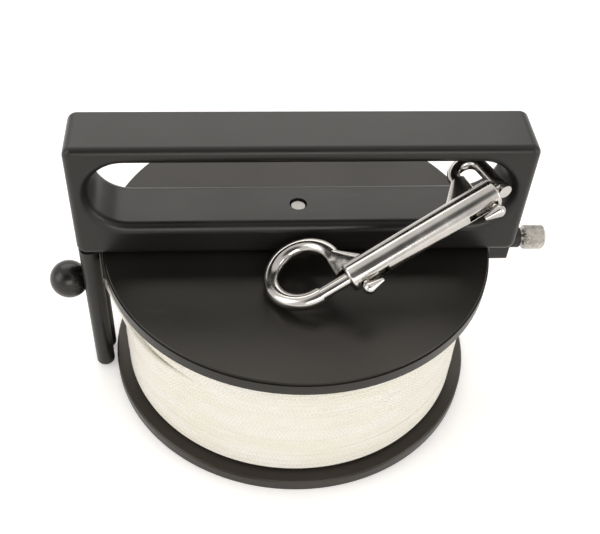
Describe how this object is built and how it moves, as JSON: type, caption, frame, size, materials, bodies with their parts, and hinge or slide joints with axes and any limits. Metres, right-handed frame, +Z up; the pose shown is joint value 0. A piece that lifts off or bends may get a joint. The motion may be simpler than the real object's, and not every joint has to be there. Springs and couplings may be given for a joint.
{
  "type": "line reel",
  "caption": "Hand-held line reel: a flanged spool of braided line turns on an axle under a slotted overhead handle, with a lock screw, a line guide, a stopper ball and a parked bolt snap.",
  "frame": {"origin": "on the spool's axis, on the underside of the lower flange, which is also the middle of the object's base", "axes": "+Z up along the spool's axis, +X along the handle towards the lock screw, +Y away from the side where the snap is parked"},
  "size_m": [0.1936, 0.1484, 0.1145],
  "materials": {
    "black_plastic": "machined black acetal, satin",
    "white_plastic": "natural acetal",
    "steel": "stainless, satin turned",
    "knurled_steel": "stainless, cross knurled",
    "polished_steel": "stainless, polished",
    "brass": "turned brass",
    "black_rubber": "smooth rubber",
    "line": "braided nylon line",
    "ball_plastic": "polished black"
  },
  "bodies": {
    "frame": {"handle_frame": "black_plastic", "axle": "steel", "axle_grub_screw": "steel", "axle_nut": "steel", "lower_washer": "steel", "thrust_washer": "white_plastic", "guide_post_front": "black_plastic", "guide_post_rear": "black_plastic", "lock_insert": "brass", "lock_sleeve": "black_rubber", "line_lead": "line", "line_knot": "line", "stopper_ball": "ball_plastic"},
    "spool": {"spool_body": "black_plastic", "lower_flange": "black_plastic", "flange_screws": "steel", "upper_bush": "white_plastic", "lower_bush": "white_plastic", "line_core": "line", "line_winding": "line"},
    "lock_tip": {"lock_pad": "white_plastic"},
    "lock_knob": {"lock_screw": "knurled_steel"},
    "snap": {"snap_body": "polished_steel", "snap_spring": "steel"},
    "snap_left_bolt": {"snap_bolt_left": "polished_steel", "snap_knob_left": "polished_steel"},
    "snap_right_bolt": {"snap_bolt_right": "polished_steel", "snap_knob_right": "polished_steel"}
  },
  "joints": [
    {"name": "spool_spin", "type": "hinge", "parent": "frame", "child": "spool", "pos_m": [0, 0, 0.03], "axis": [0, 0, 1], "continuous": true},
    {"name": "lock_travel", "type": "slide", "parent": "frame", "child": "lock_tip", "axis": [1, 0, 0], "range_m": [0, 0.003]},
    {"name": "lock_turn", "type": "hinge", "parent": "lock_tip", "child": "lock_knob", "pos_m": [0.09, 0, 0.06235], "axis": [1, 0, 0], "range_deg": [0, 1080]},
    {"name": "snap_lift", "type": "slide", "parent": "frame", "child": "snap", "axis": [0, -1, 0], "range_m": [0, 0.06]},
    {"name": "left_bolt_pull", "type": "slide", "parent": "snap", "child": "snap_left_bolt", "axis": [0.8667, 0.3506, 0.3548], "range_m": [0, 0.008], "stiffness_N_per_m": 400, "springref_m": -0.005},
    {"name": "right_bolt_pull", "type": "slide", "parent": "snap", "child": "snap_right_bolt", "axis": [-0.8667, -0.3506, -0.3548], "range_m": [0, 0.008], "stiffness_N_per_m": 400, "springref_m": -0.005}
  ],
  "couplings": [
    {"joint": "lock_turn", "follows": "lock_travel", "rad_per_m": 6283.1}
  ]
}
